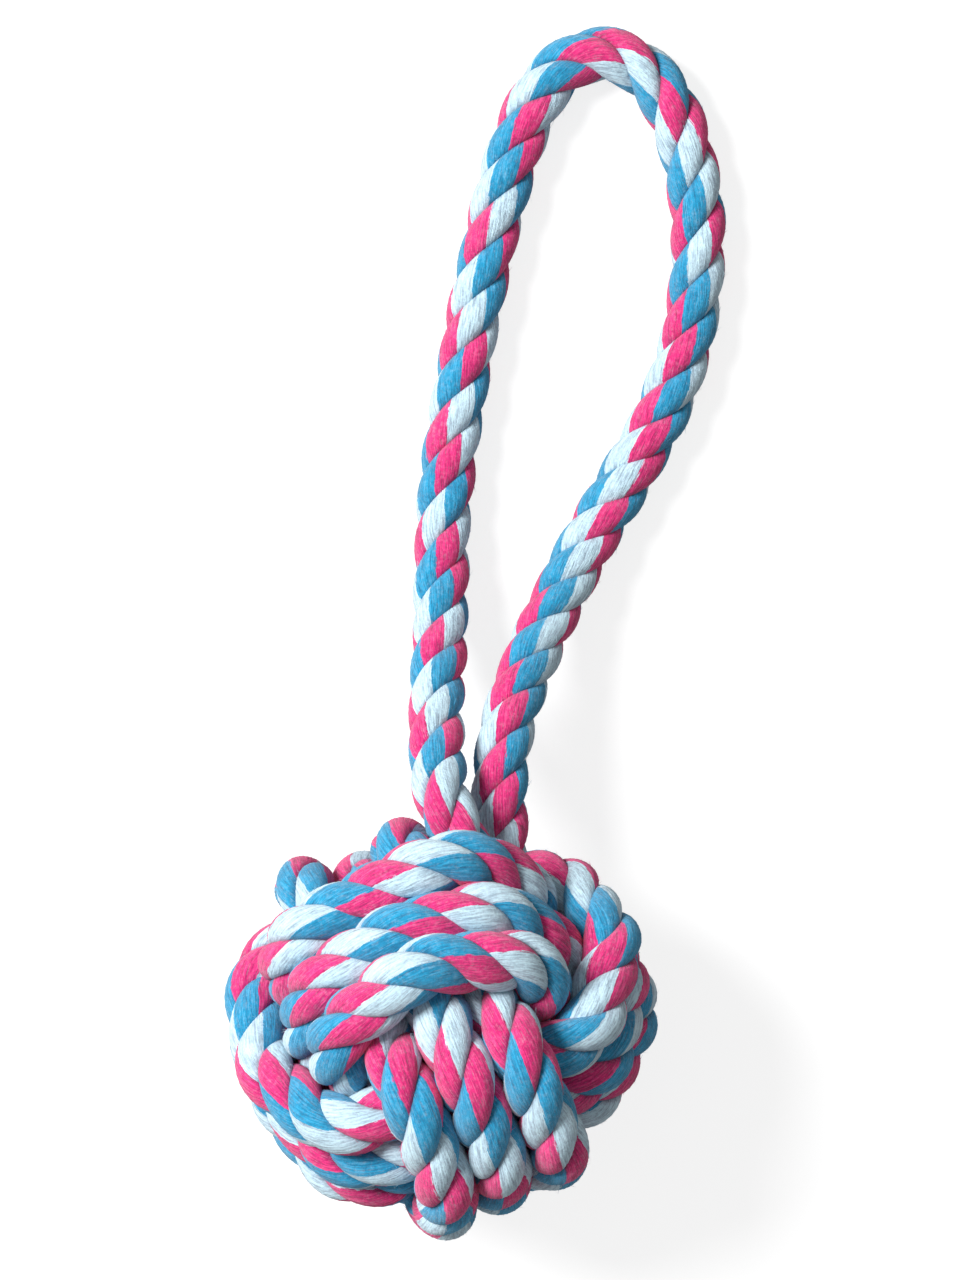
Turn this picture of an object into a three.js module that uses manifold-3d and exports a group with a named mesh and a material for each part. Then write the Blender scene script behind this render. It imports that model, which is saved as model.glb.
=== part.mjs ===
// Rope dog toy: a ball knotted from thick cotton rope round a core, on a loop handle of the same rope.
// Millimetres, +Z up. The toy lies on a flat surface: the ball rests over the origin at z = 0, and
// the handle leaves the ball towards +Y and comes down to lie on the surface.
import * as THREE from 'three';
import { mergeVertices } from 'three/addons/utils/BufferGeometryUtils.js';
import Module from 'manifold-3d';

const wasm = await Module();
wasm.setup();

// Rope
const ROPE_DIAMETER = 14;
const HANDLE_SIDES = 12;
const HANDLE_STEPS = 60;
const CORD_GAP = 0.3; // between two ends of rope that meet

// Turns of the ball
const TURN_DIAMETER = 12.6; // of the rope where it is squeezed in the ball
const TURN_GAP = 1.2; // between two turns that press on each other, and from them to the handle's left leg
const TURN_SPACING = TURN_DIAMETER + TURN_GAP; // between the middle lines of those turns
const TURN_SIDES = 6;
const STEPS_PER_TURN = 24;
const OUTER_RADIUS = 44; // of a turn's middle line where it lies on the outside of the ball
const INNER_RADIUS = 28; // of the same line where it runs under another set of turns

// Ball
const CORE_DIAMETER = 42;
const CORE_SIDES = 32;
const CORE_ROWS = 18;
const CORE_GAP = 0.3; // between the core and the rope that lies on it
const REST_CUT = 1.4; // how deep the rope is pressed flat where the ball rests
const BALL_ROLL = 19; // degrees by which the knot is turned about Z, X and its own Y
const BALL_TILT = 50;
const BALL_TURN = 5;

// Drawing the knot tight
const FINE_STEPS = 3; // points of the soft rope in each step of its solid
const TIGHTEN_ROUNDS = 260;
const SETTLE_ROUNDS = 60;
const SPREADS_PER_ROUND = 4;
const TENSION_SHARE = 0.25; // of the way to the middle of its neighbours that a point is pulled
const SPREAD_SHARE = 0.25; // of an overlap that each of two points gives way
const BEND_REACH = 5; // points along the rope between which a bend is kept open
const BEND_CHORD_SHARE = 1.03; // how far apart those points stay, of the turns' spacing

// Legs of the handle in the ball and next to it, from the ball's centre
const LEFT_LEG = [
  [4.5, 20.9, 0.6],
  [7.4, 34.8, 1.1],
  [4.2, 44.5, 1.5],
  [0.1, 54, 0.5],
];
const RIGHT_LEG = [
  [13.8, 33, -12],
  [13.6, 46, -12.5],
];
// Free stretch of the handle from the left leg to the right one: across and along from the
// ball's centre, and up from the surface
const HANDLE_ROUTE = [
  [-1.1, 62, 40],
  [-1.6, 76, 30],
  [-0.8, 92, 18.5],
  [-0.5, 108, 11.5],
  [0, 124, 8.3],
  [1.7, 140, 7.3],
  [4.3, 156, 7.1],
  [7.2, 172, 7.1],
  [10.6, 188, 7.1],
  [14.4, 204, 7.1],
  [18.2, 216.6, 7.1],
  [22.8, 226.9, 7.1],
  [29.6, 235.3, 7.1],
  [39, 238.9, 7.1],
  [48.4, 235.9, 7.1],
  [55.6, 227.9, 7.1],
  [61, 213.6, 7.1],
  [63.4, 197.1, 7.1],
  [63, 182.1, 7.1],
  [60.4, 166.1, 7.1],
  [54.4, 149.1, 7.2],
  [45.6, 133.1, 7.6],
  [36.3, 117.6, 9.5],
  [28, 101.6, 13.8],
  [20.3, 84.5, 22],
  [15.2, 69, 29.5],
];

const degrees = THREE.MathUtils.degToRad;
const vector = (point) => new THREE.Vector3(...point);

const rope = () => new THREE.MeshStandardMaterial({ color: 0xa294bb, roughness: 0.95, metalness: 0 });
const coreRubber = () => new THREE.MeshStandardMaterial({ color: 0x4b4a4d, roughness: 0.8, metalness: 0 });

// The knot's own axes, as it lies
const knotTurned = new THREE.Matrix4()
  .makeRotationZ(degrees(BALL_ROLL))
  .multiply(new THREE.Matrix4().makeRotationX(degrees(BALL_TILT)))
  .multiply(new THREE.Matrix4().makeRotationY(degrees(BALL_TURN)));
const ACROSS = 'x';
const UP = 'y';
const FRONT = 'z';
const knotAxis = (name) => {
  const axis = new THREE.Vector3();
  axis[name] = 1;
  return axis.applyMatrix4(knotTurned);
};

// The three sets of turns, each lying outside on one axis, under another set on the second, and
// stacked side by side along the third. Angles go from the outside axis towards the under axis.
// The turns shift one place along their stack each time they pass one of the shifts.
const TURN_SETS = [
  { outside: ACROSS, under: FRONT, stacked: UP, start: -45, sweep: 990, firstPlace: 1, shifts: [315, 675] },
  { outside: FRONT, under: UP, stacked: ACROSS, start: 225, sweep: -990, firstPlace: -1, shifts: [315, 675] },
  { outside: UP, under: ACROSS, stacked: FRONT, start: 135, sweep: 1080, firstPlace: 1, shifts: [360, 720] },
];
const SHIFT_ANGLE = 84; // over which a turn moves to its next place
const TAIL_CORNER = [1, -1, -1]; // in knot axes: where the rope's end is tucked in to the core

// One set of turns as a loose route, before it is drawn tight
function looseTurns(set) {
  const wholeSweep = Math.abs(set.sweep);
  const count = Math.round((wholeSweep / 360) * STEPS_PER_TURN * FINE_STEPS);
  const points = [];
  for (let i = 0; i <= count; i += 1) {
    const wound = (wholeSweep * i) / count;
    const angle = degrees(set.start + Math.sign(set.sweep) * wound);
    const moved = (middle) => THREE.MathUtils.smoothstep(wound, middle - SHIFT_ANGLE / 2, middle + SHIFT_ANGLE / 2);
    const places = set.shifts.reduce((sum, middle) => sum + moved(middle), 0);
    const radius = THREE.MathUtils.lerp(INNER_RADIUS, OUTER_RADIUS, Math.cos(angle) ** 2);
    const point = knotAxis(set.outside).multiplyScalar(radius * Math.cos(angle));
    point.addScaledVector(knotAxis(set.under), radius * Math.sin(angle));
    point.addScaledVector(knotAxis(set.stacked), set.firstPlace * (1 - places) * TURN_SPACING);
    points.push(point);
  }
  return points;
}

// Points evenly spaced between two others, leaving both out
function between(from, to, spacing) {
  const count = Math.max(1, Math.round(from.distanceTo(to) / spacing) - 1);
  return Array.from({ length: count }, (_, i) => from.clone().lerp(to, (i + 1) / (count + 1)));
}

const FINE_SPACING = (Math.PI * (OUTER_RADIUS + INNER_RADIUS)) / (STEPS_PER_TURN * FINE_STEPS);
const END_POINTS = Math.round(TURN_DIAMETER / FINE_SPACING); // in a straight end one rope long
const coreReach = CORE_DIAMETER / 2 + CORE_GAP; // where an end that meets the core stops

// The ball's whole rope from the right leg to the tucked end, with the places where sets meet
function looseRope() {
  const points = [];
  const meets = [];
  const outer = vector(RIGHT_LEG[1]);
  const inner = outer.clone().lerp(vector(RIGHT_LEG[0]), TURN_DIAMETER / outer.distanceTo(vector(RIGHT_LEG[0])));
  for (let i = 0; i <= END_POINTS; i += 1) {
    points.push(outer.clone().lerp(inner, i / END_POINTS));
  }
  for (const set of TURN_SETS) {
    const turns = looseTurns(set);
    const link = between(points[points.length - 1], turns[0], FINE_SPACING);
    if (points.length > END_POINTS + 1) {
      meets.push(points.length + Math.floor(link.length / 2));
    }
    points.push(...link, ...turns);
  }
  const corner = vector(TAIL_CORNER).normalize().applyMatrix4(knotTurned);
  const tail = Array.from({ length: END_POINTS + 1 }, (_, i) =>
    corner.clone().multiplyScalar(coreReach + TURN_DIAMETER * (1 - i / END_POINTS)));
  points.push(...between(points[points.length - 1], tail[0], FINE_SPACING), ...tail);
  return { points, meets };
}

// Points along the left leg, which the turns are drawn round
function leftLegPoints() {
  const corners = LEFT_LEG.map(vector);
  return corners.flatMap((corner, i) =>
    i === 0 ? [corner] : [...between(corners[i - 1], corner, FINE_SPACING), corner]);
}

// Moves each too close pair of points of the rope apart, all pairs at once
function spread(points, isFree) {
  const moves = points.map(() => new THREE.Vector3());
  for (let i = 0; i < points.length; i += 1) {
    for (let j = i + BEND_REACH; j < points.length; j += 1) {
      const inBend = j - i < BEND_REACH + 2;
      const distance = inBend ? BEND_CHORD_SHARE * TURN_SPACING : TURN_SPACING;
      if (points[i].distanceToSquared(points[j]) < distance ** 2 && (isFree(i) || isFree(j))) {
        const line = points[j].clone().sub(points[i]);
        const share = isFree(i) && isFree(j) ? SPREAD_SHARE : 2 * SPREAD_SHARE;
        line.setLength((distance - line.length()) * share);
        if (isFree(i)) moves[i].sub(line);
        if (isFree(j)) moves[j].add(line);
      }
    }
  }
  points.forEach((point, i) => point.add(moves[i]));
}

// Moves a point of the rope off the left leg and off the core
function clearCore(point, leg) {
  const nearest = leg.reduce((near, next) => (point.distanceTo(next) < point.distanceTo(near) ? next : near));
  const fromLeg = point.clone().sub(nearest);
  const legSpacing = (ROPE_DIAMETER + TURN_DIAMETER) / 2 + TURN_GAP;
  point.copy(nearest).add(fromLeg.setLength(Math.max(fromLeg.length(), legSpacing)));
  point.setLength(Math.max(point.length(), CORE_DIAMETER / 2 + CORE_GAP + TURN_DIAMETER / 2));
}

// Makes the stretch round each place where two sets meet straight, two rope diameters long
function straighten(points, meets) {
  for (const meet of meets) {
    const first = points[meet - END_POINTS];
    const last = points[meet + END_POINTS];
    const middle = first.clone().lerp(last, 0.5);
    const half = last.clone().sub(first).setLength(TURN_DIAMETER);
    for (let i = -END_POINTS; i <= END_POINTS; i += 1) {
      points[meet + i].copy(middle).addScaledVector(half, i / END_POINTS);
    }
  }
}

// Draws the loose rope tight: tension shortens it, and turns that touch hold each other apart
function drawTight(points, meets) {
  const leg = leftLegPoints();
  const isFree = (i) => i > END_POINTS && i < points.length - 1 - END_POINTS;
  for (let round = 0; round < TIGHTEN_ROUNDS + SETTLE_ROUNDS; round += 1) {
    if (round < TIGHTEN_ROUNDS) {
      const before = points.map((point) => point.clone());
      points.forEach((point, i) => {
        if (isFree(i)) point.lerp(before[i - 1].clone().lerp(before[i + 1], 0.5), TENSION_SHARE);
      });
    }
    for (let pass = 0; pass < SPREADS_PER_ROUND; pass += 1) {
      spread(points, isFree);
      points.filter((_, i) => isFree(i)).forEach((point) => clearCore(point, leg));
    }
    straighten(points, meets);
  }
}

// A closed tube of flat sides round a route, each end square to it
function tubeGeometry(route, diameter, sides) {
  const corners = [];
  const triangles = [];
  const direction = (i) => route[Math.min(i + 1, route.length - 1)].clone().sub(route[Math.max(i - 1, 0)]).normalize();
  const side = new THREE.Vector3(0, 0, 1);
  route.forEach((point, ring) => {
    const along = direction(ring);
    side.addScaledVector(along, -side.dot(along)).normalize();
    const across = along.clone().cross(side);
    for (let corner = 0; corner < sides; corner += 1) {
      const angle = (2 * Math.PI * corner) / sides;
      const out = side.clone().multiplyScalar(Math.cos(angle)).addScaledVector(across, Math.sin(angle));
      corners.push(point.clone().addScaledVector(out, diameter / 2));
    }
  });
  for (let ring = 0; ring < route.length - 1; ring += 1) {
    for (let corner = 0; corner < sides; corner += 1) {
      const next = (corner + 1) % sides;
      const [a, b, c, d] = [corner, next, corner + sides, next + sides].map((index) => ring * sides + index);
      triangles.push(a, b, d, a, d, c);
    }
  }
  const lastRing = (route.length - 1) * sides;
  for (let corner = 1; corner < sides - 1; corner += 1) {
    triangles.push(0, corner + 1, corner, lastRing, lastRing + corner, lastRing + corner + 1);
  }
  const geometry = new THREE.BufferGeometry().setFromPoints(corners);
  geometry.setIndex(triangles);
  return geometry;
}

function toSolid(geometry) {
  const bare = geometry.clone();
  bare.deleteAttribute('normal');
  bare.deleteAttribute('uv');
  const merged = mergeVertices(bare);
  const triVerts = new Uint32Array(merged.index.array);
  return new wasm.Manifold(new wasm.Mesh({ numProp: 3, vertProperties: merged.attributes.position.array, triVerts }));
}

function toGeometry(solid) {
  const { vertProperties, triVerts } = solid.getMesh();
  const geometry = new THREE.BufferGeometry();
  geometry.setAttribute('position', new THREE.BufferAttribute(vertProperties, 3));
  geometry.setIndex(new THREE.BufferAttribute(triVerts, 1));
  return geometry;
}

// Cuts off what would reach below the surface that the toy lies on
function flattenedAtRest(geometry) {
  geometry.computeBoundingBox();
  const { min, max } = geometry.boundingBox;
  if (min.z >= 0) {
    return geometry;
  }
  const below = new THREE.BoxGeometry(2 * (max.x - min.x), 2 * (max.y - min.y), 2 * ROPE_DIAMETER);
  below.translate((min.x + max.x) / 2, (min.y + max.y) / 2, -ROPE_DIAMETER);
  return toGeometry(toSolid(geometry).subtract(toSolid(below)));
}

// The least gap between a route of rope and another stretch of itself
function leastGap(route) {
  let least = Infinity;
  for (let i = 0; i < route.length; i += 1) {
    for (let j = i + 2 * END_POINTS; j < route.length; j += 1) {
      least = Math.min(least, route[i].distanceTo(route[j]));
    }
  }
  return least - TURN_DIAMETER;
}

function named(name, geometry, material) {
  const mesh = new THREE.Mesh(geometry, material);
  mesh.name = name;
  return mesh;
}

const { points, meets } = looseRope();
drawTight(points, meets);

// The ball's centre stands so high that the rope under it is pressed flat
const lowestMiddle = Math.min(...points.map((point) => point.z));
const ballCentre = new THREE.Vector3(0, 0, TURN_DIAMETER / 2 - lowestMiddle - REST_CUT);
points.forEach((point) => point.add(ballCentre));

const toy = new THREE.Group();

// Turns of the ball, one solid for each set, whose ends meet face to face
const setNames = ['first_turns', 'second_turns', 'third_turns'];
const starts = [0, ...meets];
const stops = [...meets, points.length - 1];
const ballBox = new THREE.Box3();
setNames.forEach((name, set) => {
  const route = points.slice(starts[set], stops[set] + 1).map((point) => point.clone());
  const last = route.length - 1;
  const shorten = (end, next) => end.addScaledVector(next.clone().sub(end).normalize(), CORD_GAP / 2);
  if (set > 0) shorten(route[0], route[1]);
  if (set < setNames.length - 1) shorten(route[last], route[last - 1]);
  const steps = Math.round(last / FINE_STEPS);
  const rings = Array.from({ length: steps + 1 }, (_, i) => route[Math.round((last * i) / steps)]);
  const turns = named(name, flattenedAtRest(tubeGeometry(rings, TURN_DIAMETER, TURN_SIDES)), rope());
  toy.add(turns);
  ballBox.expandByObject(turns, true);
  console.log(name, 'least gap to itself', leastGap(route).toFixed(2), 'mm');
});

// Core of the ball
const core = new THREE.SphereGeometry(CORE_DIAMETER / 2, CORE_SIDES, CORE_ROWS);
core.translate(0, 0, ballCentre.z);
toy.add(named('core_ball', core, coreRubber()));

// Handle: from the core out through the ball, round the loop and back to the first turn
const rightEnd = vector(RIGHT_LEG[1]);
const outward = rightEnd.clone().sub(vector(RIGHT_LEG[0])).normalize();
const handleCurve = new THREE.CatmullRomCurve3([
  ...LEFT_LEG.map((point) => vector(point).add(ballCentre)),
  ...HANDLE_ROUTE.map(vector),
  rightEnd.clone().addScaledVector(outward, ROPE_DIAMETER / 2).add(ballCentre),
  rightEnd.clone().addScaledVector(outward, CORD_GAP).add(ballCentre),
]);
const handleSection = new THREE.Shape(
  Array.from({ length: HANDLE_SIDES }, (_, i) => {
    const angle = (2 * Math.PI * i) / HANDLE_SIDES;
    return new THREE.Vector2(Math.cos(angle), Math.sin(angle)).multiplyScalar(ROPE_DIAMETER / 2);
  }),
);
const handle = { steps: HANDLE_STEPS, extrudePath: handleCurve, bevelEnabled: false };
toy.add(named('handle_loop', new THREE.ExtrudeGeometry(handleSection, handle), rope()));

// The origin is on the surface, under the middle of the ball
const middle = ballBox.getCenter(new THREE.Vector3());
toy.children.forEach((mesh) => mesh.geometry.translate(-middle.x, -middle.y, 0));

export default toy;
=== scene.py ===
import math

import bpy
import numpy as np
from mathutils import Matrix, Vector


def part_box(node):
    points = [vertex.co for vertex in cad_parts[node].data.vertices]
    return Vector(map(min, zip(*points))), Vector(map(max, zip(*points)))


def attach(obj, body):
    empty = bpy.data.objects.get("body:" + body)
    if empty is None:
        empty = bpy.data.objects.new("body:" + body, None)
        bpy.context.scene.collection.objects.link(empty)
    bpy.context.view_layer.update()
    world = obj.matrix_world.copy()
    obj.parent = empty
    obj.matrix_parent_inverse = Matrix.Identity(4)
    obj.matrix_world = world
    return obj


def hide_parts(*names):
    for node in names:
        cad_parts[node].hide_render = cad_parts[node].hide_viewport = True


MM = 0.001

# Camera: straight above the toy, as far off as the photograph's perspective asks
CAMERA_FROM_BALL = (9.0 * MM, 92.3 * MM)  # across and along from the ball's centre
CAMERA_HEIGHT = 1.1
CAMERA_REACH = 10
FOCAL_PIXELS = 4372
IMAGE_HEIGHT = 1280
SENSOR = 36.0

# Rope, as in the model's source
ROPE_DIAMETER = 14 * MM
CORD_GAP = 0.3 * MM
TURN_DIAMETER = 12.6 * MM
TURN_GAP = 1.2 * MM
TURN_SPACING = TURN_DIAMETER + TURN_GAP
STEPS_PER_TURN = 24
OUTER_RADIUS = 44 * MM
INNER_RADIUS = 28 * MM
CORE_DIAMETER = 42 * MM
CORE_GAP = 0.3 * MM
BALL_ROLL = 19
BALL_TILT = 50
BALL_TURN = 5

# Drawing the knot tight, as in the model's source
FINE_STEPS = 3
TIGHTEN_ROUNDS = 260
SETTLE_ROUNDS = 60
SPREADS_PER_ROUND = 4
TENSION_SHARE = 0.25
SPREAD_SHARE = 0.25
BEND_REACH = 5
BEND_CHORD_SHARE = 1.03
RELIST_ROUNDS = 5  # rounds between two searches for the pairs that may touch
SEARCH_SHARE = 1.5  # how far that search looks, of the turns' spacing

# Legs of the handle in the ball and next to it, from the ball's centre
LEFT_LEG = [
    (0.0045, 0.0209, 0.0006),
    (0.0074, 0.0348, 0.0011),
    (0.0042, 0.0445, 0.0015),
    (0.0001, 0.0540, 0.0005),
]
RIGHT_LEG = [
    (0.0138, 0.0330, -0.0120),
    (0.0136, 0.0460, -0.0125),
]
# Free stretch of the handle: across and along from the ball's centre, and up from the floor
HANDLE_ROUTE = [
    (-0.0011, 0.0620, 0.0400),
    (-0.0016, 0.0760, 0.0300),
    (-0.0008, 0.0920, 0.0185),
    (-0.0005, 0.1080, 0.0115),
    (0.0000, 0.1240, 0.0083),
    (0.0017, 0.1400, 0.0073),
    (0.0043, 0.1560, 0.0071),
    (0.0072, 0.1720, 0.0071),
    (0.0106, 0.1880, 0.0071),
    (0.0144, 0.2040, 0.0071),
    (0.0182, 0.2166, 0.0071),
    (0.0228, 0.2269, 0.0071),
    (0.0296, 0.2353, 0.0071),
    (0.0390, 0.2389, 0.0071),
    (0.0484, 0.2359, 0.0071),
    (0.0556, 0.2279, 0.0071),
    (0.0610, 0.2136, 0.0071),
    (0.0634, 0.1971, 0.0071),
    (0.0630, 0.1821, 0.0071),
    (0.0604, 0.1661, 0.0071),
    (0.0544, 0.1491, 0.0072),
    (0.0456, 0.1331, 0.0076),
    (0.0363, 0.1176, 0.0095),
    (0.0280, 0.1016, 0.0138),
    (0.0203, 0.0845, 0.0220),
    (0.0152, 0.0690, 0.0295),
]

# Lines of points
CURVE_SAMPLES = 40  # between two points of a route, before they are spaced evenly
LINE_PASSES = 2  # over the rope's middle line, to take out small kinks

# Lay of the rope
STRANDS = 3
STRAND_OFFSET_SHARE = 0.270  # of a strand's middle from the rope's, of the rope's diameter
STRAND_DEPTH_SHARE = 0.232  # from a strand's middle to its outside, of the rope's diameter
STRAND_WIDTH_SHARE = 0.280  # from there to its sides, which its neighbours press flat
# Length in which a strand goes once round, of the rope's diameter: at the handle's start, top and end
HANDLE_PITCH_SHARES = (2.3, 2.8, 2.35)
BALL_PITCH_SHARE = 2.4
PITCH_CHANGE = 0.04  # length over which the lay changes on its way into the ball
LAY_START = -141  # degrees
YARN_TWIST = 2.35  # turns of a strand in itself, against the lay, for each of its turns round
BALL_YARN_TWIST = 2.0
YARN_START = -22  # degrees
# Degrees that the yarns of each strand are off that, at both ends of the handle
YARN_DRIFTS = ((-20, 80), (-25, -75), (45, -5))
BALL_ROPE_SHARE = 1.05  # turns that are pressed together leave no gaps, so they are drawn this much thicker
# Each stretch of the rope, with the way in which its colours follow each other round a strand, and the
# degrees that they are moved round it at both ends of the stretch
COLOUR_MOVES = {
    "handle_loop": (1, -40, -40),
    "first_turns": (1, -40, 0),
    "second_turns": (-1, -70, 170),
    "third_turns": (1, -50, 180),
}
# Unevenness of a strand in waves along it: share, radians in a metre, and radians for each strand's number
STRAND_WANDER = ((0.02, 190, 2.1), (0.015, 413, 4.4))  # of its distance from the rope's middle
STRAND_SWELL = ((0.02, 260, 1), (0.012, 517, 3))  # of its thickness
YARNS = 24  # ridges round a strand
YARN_DEPTH = 0.1 * MM
YARN_UNEVENNESS = 0.25  # share of that depth that changes from yarn to yarn
YARN_WAVES = (5, 11)  # in which it changes round a strand
RING_POINTS = 2 * YARNS
RING_STEP = 1.15 * MM
UV_LENGTH = 0.02  # length of strand in one unit of its texture
FLOOR_GAP = 0.05 * MM  # least height of the rope's surface

# Loose fibres that stand off the cotton
FIBRES_PER_RING = 4
FIBRE_LENGTHS = (0.5 * MM, 1.8 * MM)
FIBRE_LIFTS = (0.1, 0.7)  # how far they stand up, against their way along the yarn
FIBRE_SPREAD = 0.6  # how far they stray to the side
FIBRE_WIDTH = 0.07 * MM


def linear(red, green, blue):
    """A colour as it looks on screen, from 0 to 255, as Blender wants it."""
    def one(value):
        value /= 255
        return value / 12.92 if value <= 0.04045 else ((value + 0.055) / 1.055) ** 2.4
    return (one(red), one(green), one(blue), 1)


# Colours
BLUE = linear(18, 156, 202)
PINK = linear(236, 38, 126)
PALE = linear(204, 234, 246)
# lint, and the painted highlight on the crests
LINT_AND_HIGHLIGHT_COLOUR = linear(226, 234, 242)
DARK_RUBBER = linear(58, 60, 63)
LIGHT_RUBBER = linear(92, 93, 96)
WHITE = (1, 1, 1, 1)

# Cotton's noise along the strand: grains in a unit of its texture's length, grains once round it, detail
YARN_STREAKS = (3.0, 20.0, 3.0)
THREAD_STREAKS = (9.0, 48.0, 4.0)
LINT_STREAKS = (7.0, 70.0, 4.0)
STREAK_ROUGHNESS = 0.65
# Noise that is alike in all directions: grains in a metre, detail, roughness
MOTTLE = (420.0, 2.0, 0.5)
FIBRE = (1500.0, 4.0, 0.75)
LINT_GRAINS = (900.0, 4.0, 0.7)
RUBBER_GRAIN = (900.0, 4.0, 0.5)
# Edges between two colours, which stray by this share of the way round the strand
EDGE_MOTTLE = 0.02
EDGE_THREADS = 0.09
# Cotton's shade by each texture, painted shade by the first two and tone that differs at random by the
# others: the texture's low and high value, and the shade at both
SHADES = {
    # painted shade: darker on the strands' sides, in the grooves between them
    "outside": (-0.45, 0.35, 0.28, 1.0),
    # painted shade in the furrows between the yarns
    "furrow": (0.0, 0.5, 0.92, 1.0),
    "yarns": (0.32, 0.66, 0.76, 1.12),
    "threads": (0.34, 0.60, 0.56, 1.14),
    "fibre": (0.32, 0.68, 0.80, 1.14),
    "mottle": (0.3, 0.7, 0.92, 1.06),
}
LIGHTEST_SHADE = 1.0
# the painted shade and the random tone turn bluer as they darken
SHADE_POWERS = (1.10, 1.10, 0.96)  # by which a shade darkens red, green and blue
# Lint over the colours, and on the crests a painted highlight in lint colour: from low to high value of the
# lint's noise and of the shade, and the share at both
LINT_SPECKS = (0.25, 0.42, 0.0, 0.2)
LINT_AND_HIGHLIGHT_ON_CRESTS = (0.95, 1.35, 0.0, 0.14)
THREAD_HEIGHT = 0.9
FIBRE_HEIGHT = 0.7
COTTON_BUMP = {"Strength": 0.8, "Distance": 0.6 * MM}
COTTON_SURFACE = {
    "Roughness": 0.92,
    "Specular IOR Level": 0.15,
    "Sheen Weight": 0.25,
    "Sheen Roughness": 0.6,
}
RUBBER_BUMP = {"Strength": 0.3, "Distance": 0.3 * MM}
RUBBER_SURFACE = {"Roughness": 0.8}

# Floor, background and light
FLOOR_SIZE = 1.2
FLOOR_CENTRE = (0, 0.1, 0)
FLOOR_GLOW = 0.80
FLOOR_COLOUR = (0.3, 0.3, 0.3, 1)
SKY_LIGHT = 0.35
KEY_PLACE = (-0.90, 0.5, 1.15)
KEY_SIZE = 0.6
KEY_POWER = 36
LAMP_AIM = (0.02, 0.1, 0.02)

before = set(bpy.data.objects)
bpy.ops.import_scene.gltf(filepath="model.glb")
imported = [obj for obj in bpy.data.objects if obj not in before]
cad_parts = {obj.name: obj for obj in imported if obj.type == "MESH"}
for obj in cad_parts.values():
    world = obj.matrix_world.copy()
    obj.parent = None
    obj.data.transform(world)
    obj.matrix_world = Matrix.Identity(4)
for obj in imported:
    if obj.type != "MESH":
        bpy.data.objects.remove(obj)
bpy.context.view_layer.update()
core_low, core_high = (np.array(corner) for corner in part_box("core_ball"))
BALL_CENTRE = (core_low + core_high) / 2


# Camera


def make_camera():
    data = bpy.data.cameras.new("camera")
    data.sensor_fit = "VERTICAL"
    data.sensor_height = SENSOR
    data.lens = SENSOR * FOCAL_PIXELS / IMAGE_HEIGHT
    data.clip_end = CAMERA_REACH
    camera = bpy.data.objects.new("camera", data)
    across, along = CAMERA_FROM_BALL
    camera.location = (BALL_CENTRE[0] + across, BALL_CENTRE[1] + along, CAMERA_HEIGHT)
    bpy.context.collection.objects.link(camera)
    bpy.context.scene.camera = camera


# Route of the rope


def catmull_rom(points, step):
    """Even steps along a centripetal Catmull-Rom curve through the points."""
    points = np.asarray(points, float)
    padded = np.vstack([2 * points[0] - points[1], points, 2 * points[-1] - points[-2]])
    samples = []
    for p0, p1, p2, p3 in zip(padded[:-3], padded[1:-2], padded[2:-1], padded[3:]):
        k0, k1, k2 = (math.sqrt(np.linalg.norm(b - a)) for a, b in ((p0, p1), (p1, p2), (p2, p3)))
        start = ((p1 - p0) / k0 - (p2 - p0) / (k0 + k1) + (p2 - p1) / k1) * k1
        end = ((p2 - p1) / k1 - (p3 - p1) / (k1 + k2) + (p3 - p2) / k2) * k1
        t = np.linspace(0, 1, CURVE_SAMPLES, endpoint=False)[:, None]
        cubic = 2 * p1 - 2 * p2 + start + end
        square = -3 * p1 + 3 * p2 - 2 * start - end
        samples.append(p1 + start * t + square * t**2 + cubic * t**3)
    samples = np.vstack(samples + [points[-1:]])
    return even_steps(samples, step)


def lengths_along(points):
    return np.concatenate([[0], np.cumsum(np.linalg.norm(np.diff(points, axis=0), axis=1))])


def even_steps(points, step):
    along = lengths_along(points)
    wanted = np.linspace(0, along[-1], max(2, round(along[-1] / step) + 1))
    return np.stack([np.interp(wanted, along, points[:, axis]) for axis in range(3)], axis=1)


def rotation(axis, degrees):
    c, s = math.cos(math.radians(degrees)), math.sin(math.radians(degrees))
    if axis == "x":
        return np.array([[1, 0, 0], [0, c, -s], [0, s, c]])
    if axis == "y":
        return np.array([[c, 0, s], [0, 1, 0], [-s, 0, c]])
    return np.array([[c, -s, 0], [s, c, 0], [0, 0, 1]])


KNOT_AXES = rotation("z", BALL_ROLL) @ rotation("x", BALL_TILT) @ rotation("y", BALL_TURN)
ACROSS, UP, FRONT = KNOT_AXES.T

# Sets of turns: outside, under and stacked axis, start and sweep in degrees, first place, shifts
TURN_SETS = [
    (ACROSS, FRONT, UP, -45, 990, 1, (315, 675)),
    (FRONT, UP, ACROSS, 225, -990, -1, (315, 675)),
    (UP, ACROSS, FRONT, 135, 1080, 1, (360, 720)),
]
SHIFT_ANGLE = 84
TAIL_CORNER = KNOT_AXES @ (np.array([1, -1, -1]) / math.sqrt(3))
FINE_SPACING = math.pi * (OUTER_RADIUS + INNER_RADIUS) / (STEPS_PER_TURN * FINE_STEPS)
END_POINTS = round(TURN_DIAMETER / FINE_SPACING)
CORE_REACH = CORE_DIAMETER / 2 + CORE_GAP


def smoothstep(value, low, high):
    share = np.clip((value - low) / (high - low), 0, 1)
    return share * share * (3 - 2 * share)


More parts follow.
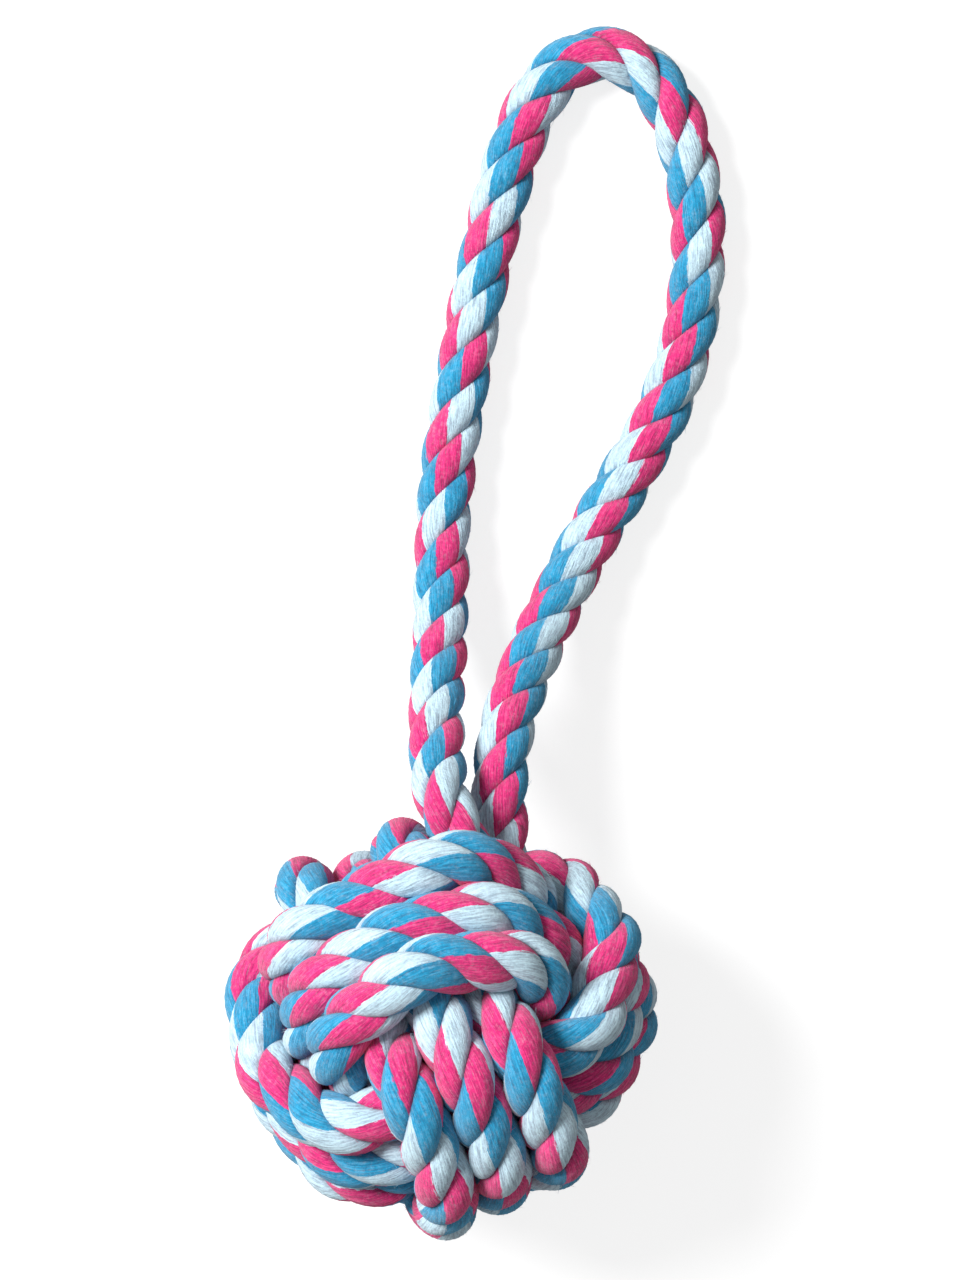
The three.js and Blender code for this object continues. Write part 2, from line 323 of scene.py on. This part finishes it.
def loose_turns(outside, under, stacked, start, sweep, first_place, shifts):
    """One set of turns before it is drawn tight."""
    count = round(abs(sweep) / 360 * STEPS_PER_TURN * FINE_STEPS)
    wound = np.linspace(0, abs(sweep), count + 1)
    angle = np.radians(start + np.sign(sweep) * wound)
    half = SHIFT_ANGLE / 2
    places = sum(smoothstep(wound, middle - half, middle + half) for middle in shifts)
    radius = INNER_RADIUS + (OUTER_RADIUS - INNER_RADIUS) * np.cos(angle) ** 2
    return (
        np.outer(radius * np.cos(angle), outside)
        + np.outer(radius * np.sin(angle), under)
        + np.outer(first_place * (1 - places) * TURN_SPACING, stacked)
    )


def between(start, end):
    """Points evenly spaced between two others, leaving both out."""
    count = max(1, math.floor(np.linalg.norm(end - start) / FINE_SPACING + 0.5) - 1)
    return [start + (end - start) * (i + 1) / (count + 1) for i in range(count)]


def loose_rope():
    """The ball's whole rope from the right leg to the tucked end, and where its sets meet."""
    outer, toward = np.array(RIGHT_LEG[1]), np.array(RIGHT_LEG[0]) - np.array(RIGHT_LEG[1])
    inner = outer + toward * TURN_DIAMETER / np.linalg.norm(toward)
    points = [outer + (inner - outer) * i / END_POINTS for i in range(END_POINTS + 1)]
    meets = []
    for turn_set in TURN_SETS:
        turns = loose_turns(*turn_set)
        link = between(points[-1], turns[0])
        if len(points) > END_POINTS + 1:
            meets.append(len(points) + len(link) // 2)
        points += link + list(turns)
    tail = [
        TAIL_CORNER * (CORE_REACH + TURN_DIAMETER * (1 - i / END_POINTS))
        for i in range(END_POINTS + 1)
    ]
    points += between(points[-1], tail[0]) + tail
    return np.array(points), meets


def left_leg_points():
    corners = [np.array(corner) for corner in LEFT_LEG]
    points = corners[:1]
    for start, end in zip(corners[:-1], corners[1:]):
        points += between(start, end) + [end]
    return np.array(points)


def close_pairs(points, moves):
    """Pairs of points that may touch: their numbers, the distance they keep and how they share it."""
    gaps = ((points[:, None] - points[None]) ** 2).sum(-1)
    first, second = np.nonzero(np.triu(gaps < (TURN_SPACING * SEARCH_SHARE) ** 2, BEND_REACH))
    kept = moves[first] | moves[second]
    first, second = first[kept], second[kept]
    in_bend = second - first < BEND_REACH + 2
    distance = np.where(in_bend, BEND_CHORD_SHARE * TURN_SPACING, TURN_SPACING)
    share = np.where(moves[first] & moves[second], SPREAD_SHARE, 2 * SPREAD_SHARE)
    return first, second, distance, share


def spread(points, pairs, moves):
    """Moves each too close pair of points apart, all pairs at once."""
    first, second, distance, share = pairs
    line = points[second] - points[first]
    length = np.linalg.norm(line, axis=1)
    push = line * (np.maximum(distance - length, 0) * share / length)[:, None]
    count = len(points)
    for axis in range(3):
        ahead = np.bincount(second, push[:, axis], count)
        behind = np.bincount(first, push[:, axis], count)
        points[:, axis] += moves * (ahead - behind)


def clear_core(points, leg, moves):
    """Moves the rope off the handle's left leg and off the core."""
    nearest = leg[np.linalg.norm(points[:, None] - leg[None], axis=2).argmin(1)]
    from_leg = points - nearest
    length = np.linalg.norm(from_leg, axis=1)[:, None]
    leg_spacing = (ROPE_DIAMETER + TURN_DIAMETER) / 2 + TURN_GAP
    cleared = nearest + from_leg * np.maximum(length, leg_spacing) / length
    height = np.linalg.norm(cleared, axis=1)[:, None]
    cleared = cleared * np.maximum(height, CORE_REACH + TURN_DIAMETER / 2) / height
    points[moves] = cleared[moves]


def straighten(points, meets):
    for meet in meets:
        first, last = points[meet - END_POINTS].copy(), points[meet + END_POINTS].copy()
        half = (last - first) / np.linalg.norm(last - first) * TURN_DIAMETER
        for i in range(-END_POINTS, END_POINTS + 1):
            points[meet + i] = (first + last) / 2 + half * i / END_POINTS


def draw_tight(points, meets):
    """Tension shortens the loose rope, and turns that touch hold each other apart."""
    leg = left_leg_points()
    order = np.arange(len(points))
    moves = (order > END_POINTS) & (order < len(points) - 1 - END_POINTS)
    for number in range(TIGHTEN_ROUNDS + SETTLE_ROUNDS):
        if number < TIGHTEN_ROUNDS:
            pull = (points[:-2] + points[2:]) / 2 - points[1:-1]
            points[1:-1] += pull * TENSION_SHARE * moves[1:-1, None]
        if number % RELIST_ROUNDS == 0:
            pairs = close_pairs(points, moves)
        for _ in range(SPREADS_PER_ROUND):
            spread(points, pairs, moves)
            clear_core(points, leg, moves)
        straighten(points, meets)
    return points


def smoothed(points, passes):
    """The points with small kinks taken out, the ends kept."""
    points = points.copy()
    for _ in range(passes):
        points[1:-1] = points[1:-1] * 0.5 + (points[:-2] + points[2:]) * 0.25
    return points


def handle_curve():
    right_end = np.array(RIGHT_LEG[1])
    outward = right_end - np.array(RIGHT_LEG[0])
    outward /= np.linalg.norm(outward)
    foot = np.array([BALL_CENTRE[0], BALL_CENTRE[1], 0])
    points = [BALL_CENTRE + np.array(point) for point in LEFT_LEG]
    points += [foot + np.array(point) for point in HANDLE_ROUTE]
    points.append(BALL_CENTRE + right_end + outward * ROPE_DIAMETER / 2)
    points.append(BALL_CENTRE + right_end + outward * CORD_GAP)
    return points


# Rope


class Rope:
    """The whole rope's middle line, with an even frame along it and the angle of its lay."""

    def __init__(self, stretches, step):
        self.starts = []
        points = []
        for stretch in stretches:
            self.starts.append(len(points))
            points += list(even_steps(stretch, step))
        self.starts.append(len(points))
        self.points = smoothed(np.array(points), LINE_PASSES)
        self.along = lengths_along(self.points)
        self.tangents = unit(np.gradient(self.points, axis=0))
        self.normals = carried_normals(self.tangents)
        self.binormals = np.cross(self.tangents, self.normals)
        self.handle_share = self.along / self.along[self.starts[1]]
        change = self.along[self.starts[1]]
        self.opened = smoothstep(self.along, change - PITCH_CHANGE / 2, change + PITCH_CHANGE / 2)
        self.diameter = ROPE_DIAMETER * (1 + (BALL_ROPE_SHARE - 1) * self.opened)
        self.angle = self.lay_angle()
        twist = YARN_TWIST + (BALL_YARN_TWIST - YARN_TWIST) * self.opened
        turned = np.cumsum((twist[1:] + twist[:-1]) / 2 * np.diff(self.angle))
        self.twisted = YARN_TWIST * self.angle[0] + np.concatenate([[0], turned])

    def lay_angle(self):
        """How far the strands have turned round the rope, all along it."""
        share = np.interp(self.handle_share, (0, 0.5, 1), HANDLE_PITCH_SHARES)
        share += (BALL_PITCH_SHARE - share) * self.opened
        rate = 1 / (ROPE_DIAMETER * share)
        turned = np.concatenate([[0], np.cumsum((rate[1:] + rate[:-1]) / 2 * np.diff(self.along))])
        return math.radians(LAY_START) + 2 * math.pi * turned

    def yarn_angle(self, number):
        """How far one strand's yarns have turned in it, all along it."""
        drift = np.interp(self.handle_share, (0, 1), YARN_DRIFTS[number]) * (1 - self.opened)
        return self.twisted + 2 * math.pi * number / STRANDS + np.radians(YARN_START + drift)


def unit(vectors):
    return vectors / np.linalg.norm(vectors, axis=-1, keepdims=True)


def carried_normals(tangents):
    """Normals carried along the tangents without turning about them."""
    normals = np.zeros_like(tangents)
    side = np.array([0.0, 0.0, 1.0])
    for i, tangent in enumerate(tangents):
        side = side - tangent * side.dot(tangent)
        side /= np.linalg.norm(side)
        normals[i] = side
    return normals


def uneven(along, number, waves):
    """Waves along one strand, which are others in the next strand."""
    return sum(share * np.sin(along * rate + number * start) for share, rate, start in waves)


def yarn_ridges(yarn):
    """Ridges round a strand: 0 on their crests, and about -1 between two yarns."""
    one, other = YARN_WAVES
    change = YARN_UNEVENNESS * np.sin(one * yarn) * np.sin(other * yarn)
    return (np.abs(np.sin(YARNS / 2 * yarn)) - 1) * (1 - YARN_UNEVENNESS + change)


def strand_rings(rope, number, first, last, ring_points):
    """Rings of points round one strand of the rope, from one place along it to another."""
    part = slice(max(first - 1, 0), last + 2)  # one ring more at both ends, for even slopes
    angle = rope.angle[part] + 2 * math.pi * number / STRANDS
    outward = rope.normals[part] * np.cos(angle)[:, None] + rope.binormals[part] * np.sin(angle)[:, None]
    along = rope.along[part]
    diameter = rope.diameter[part]
    offset = diameter * STRAND_OFFSET_SHARE * (1 + uneven(along, number, STRAND_WANDER))
    middle = rope.points[part] + outward * offset[:, None]
    tangent = unit(np.gradient(middle, axis=0))
    outward = unit(outward - tangent * (outward * tangent).sum(1, keepdims=True))
    sideways = np.cross(tangent, outward)
    yarn = 2 * math.pi * np.arange(ring_points) / ring_points
    around = yarn[None] - rope.yarn_angle(number)[part][:, None]
    size = (diameter * (1 + uneven(along, number, STRAND_SWELL)))[:, None]
    ridge = YARN_DEPTH * yarn_ridges(yarn)[None]
    depth = size * STRAND_DEPTH_SHARE + ridge
    width = size * STRAND_WIDTH_SHARE + ridge
    rings = (
        middle[:, None]
        + outward[:, None] * (depth * np.cos(around))[..., None]
        + sideways[:, None] * (width * np.sin(around))[..., None]
    )
    kept = slice(first - part.start, last - part.start + 1)
    return rings[kept], middle[kept], along[kept], np.cos(around[kept])


def tube_faces(rings, sides, offset):
    """Four-sided faces of a closed tube, with a middle point for each end after its rings."""
    ring = np.arange(rings - 1)[:, None] * sides
    corner = np.arange(sides)[None]
    following = (corner + 1) % sides
    walls = np.stack([ring + corner, ring + following, ring + following + sides, ring + corner + sides], -1)
    pair = np.arange(0, sides, 2)
    start_middle = np.full_like(pair, rings * sides)
    fan = [pair, (pair + 1) % sides, (pair + 2) % sides]
    start = np.stack([start_middle, *fan[::-1]], -1)
    end = np.stack([start_middle + 1, *(corner + (rings - 1) * sides for corner in fan)], -1)
    return np.concatenate([walls.reshape(-1, 4), start, end]) + offset


def texture_places(along, sides, colour_moves):
    """Texture place of each ring point: along the strand, and once round it from its first yarn."""
    way, *moved = colour_moves
    v = way * np.arange(sides + 1) / sides + np.interp(along, along[[0, -1]], moved)[:, None] / 360
    return np.stack([np.repeat(along[:, None] / UV_LENGTH, sides + 1, 1), v], -1)


def tube_texture(grid):
    """Texture places of the tube's faces, corner by corner."""
    sides = grid.shape[1] - 1
    walls = np.stack([grid[:-1, :-1], grid[:-1, 1:], grid[1:, 1:], grid[1:, :-1]], 2)
    pair = np.arange(0, sides, 2)
    start, end = grid[0], grid[-1]
    caps = [
        np.stack([start[pair + 1], start[pair + 2], start[pair + 1], start[pair]], 1),
        np.stack([end[pair + 1], end[pair], end[pair + 1], end[pair + 2]], 1),
    ]
    return np.concatenate([walls.reshape(-1, 4, 2)] + caps)


def loose_fibres(rings, middle, grid, number):
    """Thin four-cornered fibres standing off a strand, with their texture places."""
    random = np.random.default_rng(number)
    count = FIBRES_PER_RING * len(rings)
    ring = random.integers(0, len(rings) - 1, count)
    corner = random.integers(0, rings.shape[1], count)
    root = rings[ring, corner]
    outward = unit(root - middle[ring])
    along = unit(rings[ring + 1, corner] - root) * random.choice((-1, 1), count)[:, None]
    sideways = np.cross(outward, along)
    lift = random.uniform(*FIBRE_LIFTS, count)[:, None]
    stray = random.uniform(-FIBRE_SPREAD, FIBRE_SPREAD, count)[:, None]
    way = unit(along + lift * outward + stray * sideways)
    tip = root + way * random.uniform(*FIBRE_LENGTHS, count)[:, None]
    half = unit(np.cross(way, random.normal(size=(count, 3)))) * FIBRE_WIDTH / 2
    corners = np.stack([root - half, root + half, tip + half / 2, tip - half / 2], 1)
    return corners, np.repeat(grid[ring, corner][:, None], 4, 1)


def smooth_mesh(name, points, faces, texture, outside):
    """A mesh of four-sided faces, with its texture places and how far out in the rope its points lie, which
    the material turns into painted shade between the strands.
    """
    mesh = bpy.data.meshes.new(name)
    mesh.vertices.add(len(points))
    mesh.vertices.foreach_set("co", points.astype(np.float32).ravel())
    mesh.loops.add(faces.size)
    mesh.loops.foreach_set("vertex_index", faces.astype(np.int32).ravel())
    mesh.polygons.add(len(faces))
    mesh.polygons.foreach_set("loop_start", np.arange(0, faces.size, 4, dtype=np.int32))
    mesh.update(calc_edges=True)
    layer = mesh.uv_layers.new(name="strand")
    layer.data.foreach_set("uv", texture.astype(np.float32).ravel())
    attribute = mesh.attributes.new("outside", "FLOAT", "POINT")
    attribute.data.foreach_set("value", outside.astype(np.float32))
    mesh.polygons.foreach_set("use_smooth", np.ones(len(faces), bool))
    return mesh


def rope_piece(name, rope, first, last, colour_moves, material):
    """One stretch of the rope as a mesh of its three strands and their loose fibres."""
    sides = RING_POINTS
    points, faces, texture, outside, offset = [], [], [], [], 0
    for number in range(STRANDS):
        rings, middle, along, height = strand_rings(rope, number, first, last, sides)
        points += [rings.reshape(-1, 3), middle[[0, -1]]]
        faces.append(tube_faces(len(rings), sides, offset))
        grid = texture_places(along, sides, colour_moves)
        texture.append(tube_texture(grid))
        outside += [height.ravel(), [0, 0]]
        offset += len(rings) * sides + 2
        corners, places = loose_fibres(rings, middle, grid, number)
        points.append(corners.reshape(-1, 3))
        faces.append(np.arange(corners.shape[0] * 4).reshape(-1, 4) + offset)
        texture.append(places)
        outside.append(np.ones(corners.shape[0] * 4))
        offset += corners.shape[0] * 4
    points = np.concatenate(points)
    points[:, 2] = np.maximum(points[:, 2], FLOOR_GAP)
    mesh = smooth_mesh(name, points, np.concatenate(faces), np.concatenate(texture), np.concatenate(outside))
    mesh.materials.append(material)
    piece = bpy.data.objects.new(name, mesh)
    bpy.context.collection.objects.link(piece)
    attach(piece, "root")
    return piece


# Materials


class Nodes:
    """Short way to add shader nodes and link them."""

    def __init__(self, material):
        material.use_nodes = True
        self.tree = material.node_tree
        self.tree.nodes.clear()

    def feed(self, socket, value):
        """Links a socket to another, or gives it a plain value."""
        if isinstance(value, bpy.types.NodeSocket):
            self.tree.links.new(value, socket)
        else:
            socket.default_value = value

    def add(self, kind, inputs=None, **settings):
        node = self.tree.nodes.new(kind)
        for name, value in settings.items():
            setattr(node, name, value)
        for name, value in (inputs or {}).items():
            self.feed(node.inputs[name], value)
        return node

    def math(self, operation, first, second=0.0):
        return self.add("ShaderNodeMath", {0: first, 1: second}, operation=operation).outputs[0]

    def mix(self, share, first, second, blend="MIX"):
        inputs = {0: share, 6: first, 7: second}
        return self.add("ShaderNodeMix", inputs, data_type="RGBA", blend_type=blend).outputs[2]

    def mapped(self, value, low, high, at_low, at_high):
        """A value brought from one range to another, and held at its ends."""
        return self.add("ShaderNodeMapRange", {0: value, 1: low, 2: high, 3: at_low, 4: at_high}).outputs[0]

    def noise(self, place, scale, detail, roughness):
        inputs = {"Vector": place, "Scale": scale, "Detail": detail, "Roughness": roughness}
        return self.add("ShaderNodeTexNoise", inputs).outputs[0]

    def streaks(self, along, around, length_count, round_count, detail):
        """Noise drawn out along the yarns."""
        inputs = {
            0: self.math("MULTIPLY", along, length_count),
            1: self.math("MULTIPLY", around, round_count),
        }
        drawn = self.add("ShaderNodeCombineXYZ", inputs).outputs[0]
        return self.noise(drawn, 1.0, detail, STREAK_ROUGHNESS)

    def cover(self, colour, height, bump, surface):
        """The material's surface, with its bump."""
        normal = self.add("ShaderNodeBump", {"Height": height, **bump}).outputs[0]
        inputs = {"Base Color": colour, "Normal": normal, **surface}
        shader = self.add("ShaderNodeBsdfPrincipled", inputs)
        self.add("ShaderNodeOutputMaterial", {"Surface": shader.outputs[0]})


def three_colours(nodes, around, mottle, threads):
    """Blue, pink and pale yarns, each a third of the way round a strand, with fibrous edges."""
    stray = nodes.math(
        "ADD", nodes.math("MULTIPLY", mottle, EDGE_MOTTLE), nodes.math("MULTIPLY", threads, EDGE_THREADS)
    )
    edge = nodes.math("ADD", around, nodes.math("SUBTRACT", stray, (EDGE_MOTTLE + EDGE_THREADS) / 2))
    ramp = nodes.add("ShaderNodeValToRGB", {0: nodes.math("FRACT", edge)})
    ramp.color_ramp.interpolation = "CONSTANT"
    ramp.color_ramp.elements[0].color = BLUE
    ramp.color_ramp.elements[1].position = 1 / 3
    ramp.color_ramp.elements[1].color = PINK
    ramp.color_ramp.elements.new(2 / 3).color = PALE
    return ramp.outputs[0]


def cotton_material():
    """Matte cotton yarn in three colours, with painted shade between the strands and yarns, lint on it, and a
    painted highlight in lint colour on the crests.
    """
    material = bpy.data.materials.new("cotton_rope")
    nodes = Nodes(material)
    uv = nodes.add("ShaderNodeUVMap", uv_map="strand").outputs[0]
    split = nodes.add("ShaderNodeSeparateXYZ", {0: uv})
    along, around = split.outputs[0], split.outputs[1]
    place = nodes.add("ShaderNodeTexCoord").outputs["Object"]
    textures = {
        # painted shade in the grooves between the strands
        "outside": nodes.add("ShaderNodeAttribute", attribute_name="outside").outputs["Fac"],
        # painted shade in the furrows between the yarns
        "furrow": nodes.math("ABSOLUTE", nodes.math("SINE", nodes.math("MULTIPLY", around, math.pi * YARNS))),
        "yarns": nodes.streaks(along, around, *YARN_STREAKS),
        "threads": nodes.streaks(along, around, *THREAD_STREAKS),
        "fibre": nodes.noise(place, *FIBRE),
        "mottle": nodes.noise(place, *MOTTLE),
    }
    # shade: painted shade in the grooves and furrows, times tone that differs at random
    shade = 1.0
    for name, texture in textures.items():
        shade = nodes.math("MULTIPLY", shade, nodes.mapped(texture, *SHADES[name]))
    capped = nodes.math("MINIMUM", shade, LIGHTEST_SHADE)
    powers = [nodes.math("POWER", capped, power) for power in SHADE_POWERS]
    tinted = nodes.add("ShaderNodeCombineColor", dict(enumerate(powers))).outputs[0]
    colours = three_colours(nodes, around, textures["mottle"], textures["threads"])
    colour = nodes.mix(1.0, colours, tinted, "MULTIPLY")

    lint = nodes.streaks(along, around, *LINT_STREAKS)
    specks = nodes.mapped(nodes.math("MULTIPLY", lint, nodes.noise(place, *LINT_GRAINS)), *LINT_SPECKS)
    # lint specks, and where the shade is lightest a painted highlight in lint colour
    colour = nodes.mix(nodes.math("MAXIMUM", specks, nodes.mapped(shade, *LINT_AND_HIGHLIGHT_ON_CRESTS)), colour, LINT_AND_HIGHLIGHT_COLOUR)
    height = nodes.math(
        "ADD",
        nodes.math("MULTIPLY", textures["threads"], THREAD_HEIGHT),
        nodes.math("MULTIPLY", textures["fibre"], FIBRE_HEIGHT),
    )
    nodes.cover(colour, height, COTTON_BUMP, COTTON_SURFACE)
    return material


def rubber_material():
    material = bpy.data.materials.new("core_rubber")
    nodes = Nodes(material)
    grain = nodes.noise(nodes.add("ShaderNodeTexCoord").outputs["Object"], *RUBBER_GRAIN)
    tone = nodes.mix(grain, DARK_RUBBER, LIGHT_RUBBER)
    nodes.cover(tone, grain, RUBBER_BUMP, RUBBER_SURFACE)
    return material


# Floor, background and lamp


def seen_directly(nodes):
    """1 for what the camera sees, also by way of gloss or glass."""
    path = nodes.add("ShaderNodeLightPath")
    share = nodes.math("MAXIMUM", path.outputs["Is Camera Ray"], path.outputs["Is Glossy Ray"])
    return nodes.math("MAXIMUM", share, path.outputs["Is Transmission Ray"])


def make_floor():
    bpy.ops.mesh.primitive_plane_add(size=FLOOR_SIZE, location=FLOOR_CENTRE)
    floor = bpy.context.object
    floor.name = "floor"
    material = bpy.data.materials.new("floor")
    nodes = Nodes(material)
    strength = nodes.math("MULTIPLY", seen_directly(nodes), FLOOR_GLOW)
    glow = nodes.add("ShaderNodeEmission", {"Color": WHITE, "Strength": strength})
    matte = nodes.add("ShaderNodeBsdfDiffuse", {"Color": FLOOR_COLOUR})
    both = nodes.add("ShaderNodeAddShader", {0: glow.outputs[0], 1: matte.outputs[0]})
    nodes.add("ShaderNodeOutputMaterial", {"Surface": both.outputs[0]})
    floor.data.materials.append(material)


def make_world():
    world = bpy.data.worlds.new("world")
    bpy.context.scene.world = world
    nodes = Nodes(world)
    strength = nodes.math("ADD", SKY_LIGHT, nodes.math("MULTIPLY", seen_directly(nodes), 1 - SKY_LIGHT))
    background = nodes.add("ShaderNodeBackground", {"Color": WHITE, "Strength": strength})
    nodes.add("ShaderNodeOutputWorld", {"Surface": background.outputs[0]})


def make_lamp(name, location, size, power):
    data = bpy.data.lights.new(name, "AREA")
    data.shape = "DISK"
    data.size = size
    data.energy = power
    lamp = bpy.data.objects.new(name, data)
    lamp.location = location
    aim = Vector(LAMP_AIM) - Vector(location)
    lamp.rotation_euler = aim.to_track_quat("-Z", "Y").to_euler()
    bpy.context.collection.objects.link(lamp)


# Scene

make_camera()
bpy.context.scene.view_settings.view_transform = "Standard"

tight_points, meets = loose_rope()
tight_points = draw_tight(tight_points, meets) + BALL_CENTRE
bounds_between = [0] + meets + [len(tight_points) - 1]
turn_stretches = [tight_points[a : b + 1] for a, b in zip(bounds_between[:-1], bounds_between[1:])]

step = RING_STEP
handle_line = catmull_rom(handle_curve(), step)
rope = Rope([handle_line] + turn_stretches, step)

cotton = cotton_material()
for index, (node, colour_moves) in enumerate(COLOUR_MOVES.items()):
    last = min(rope.starts[index + 1], len(rope.points) - 1)
    piece = rope_piece("rope_" + node, rope, rope.starts[index], last, colour_moves, cotton)
    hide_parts(node)

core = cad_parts["core_ball"]
core.data.materials.clear()
core.data.materials.append(rubber_material())

make_floor()
make_world()
make_lamp("key", KEY_PLACE, KEY_SIZE, KEY_POWER)
